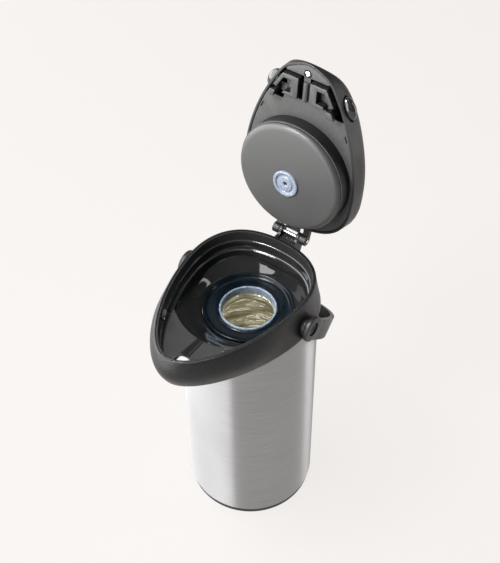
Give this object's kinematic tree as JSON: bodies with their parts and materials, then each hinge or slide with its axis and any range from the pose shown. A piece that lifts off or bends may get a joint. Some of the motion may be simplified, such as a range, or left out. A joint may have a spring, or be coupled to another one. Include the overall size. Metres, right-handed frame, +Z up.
{
  "type": "thermal coffee airpot",
  "caption": "Pump airpot: steel-cased vacuum jug with a pointed pouring collar, swinging carry handle and a hinged pump lid standing open.",
  "frame": {"origin": "on the body's vertical axis in the plane of its foot, 2 mm from the middle of the whole outline with the lid open", "axes": "+Z up, -Y towards the pouring tip, +Y towards the lid's hinge, +X to the right seen from the tip's side"},
  "size_m": [0.174, 0.2897, 0.5736],
  "materials": {
    "steel": "brushed around the body",
    "black_plastic": "fine grained matte",
    "tray_gloss": "polished black",
    "neck_gloss": "polished blue-black",
    "silvered_glass": "silvered, with an olive tint",
    "silicone": "translucent satin",
    "rubber": "dull black",
    "bright_steel": "bright"
  },
  "bodies": {
    "body": {"foot_ring": "rubber", "base_cup": "black_plastic", "liner_cap": "black_plastic", "liner_cushion": "rubber", "vacuum_liner": "silvered_glass", "mouth_gasket": "silicone", "neck_ring": "neck_gloss", "outer_shell": "steel", "collar": "black_plastic", "inner_tray": "tray_gloss", "hinge_pin": "bright_steel", "pivot_pin_right": "black_plastic", "pivot_pin_left": "black_plastic"},
    "handle": {"carry_handle": "black_plastic"},
    "lid": {"lid_cover": "black_plastic", "lid_panel": "black_plastic", "panel_screw": "bright_steel", "pump_housing": "black_plastic", "dome_seal_ring": "rubber", "air_valve": "silicone", "pump_bellows": "rubber", "pump_spring": "bright_steel", "latch_spring_right": "bright_steel", "latch_spring_left": "bright_steel"},
    "pump": {"pump_button": "black_plastic"},
    "release_right": {"latch_slider_right": "black_plastic", "release_button_right": "tray_gloss"},
    "release_left": {"latch_slider_left": "black_plastic", "release_button_left": "tray_gloss"},
    "lock": {"lock_slider": "black_plastic"}
  },
  "joints": [
    {"name": "lid_hinge", "type": "hinge", "parent": "body", "child": "lid", "pos_m": [0, 0.0825, 0.358], "axis": [1, 0, 0], "range_deg": [0, 95.9]},
    {"name": "handle_swing", "type": "hinge", "parent": "body", "child": "handle", "pos_m": [0, 0, 0.33], "axis": [1, 0, 0], "range_deg": [0, 55]},
    {"name": "pump_press", "type": "slide", "parent": "lid", "child": "pump", "axis": [0, -0.9947, 0.1028], "range_m": [0, 0.022], "stiffness_N_per_m": 600, "springref_m": -0.01, "deforming": ["pump_bellows", "pump_spring"]},
    {"name": "release_right_press", "type": "slide", "parent": "lid", "child": "release_right", "axis": [-1, 0, 0], "range_m": [0, 0.003], "stiffness_N_per_m": 800, "springref_m": -0.002, "deforming": ["latch_spring_right"]},
    {"name": "release_left_press", "type": "slide", "parent": "lid", "child": "release_left", "axis": [1, 0, 0], "range_m": [0, 0.003], "stiffness_N_per_m": 800, "springref_m": -0.002, "deforming": ["latch_spring_left"]},
    {"name": "lock_slide", "type": "slide", "parent": "lid", "child": "lock", "axis": [1, 0, 0], "range_m": [-0.0055, 0.0055]}
  ]
}
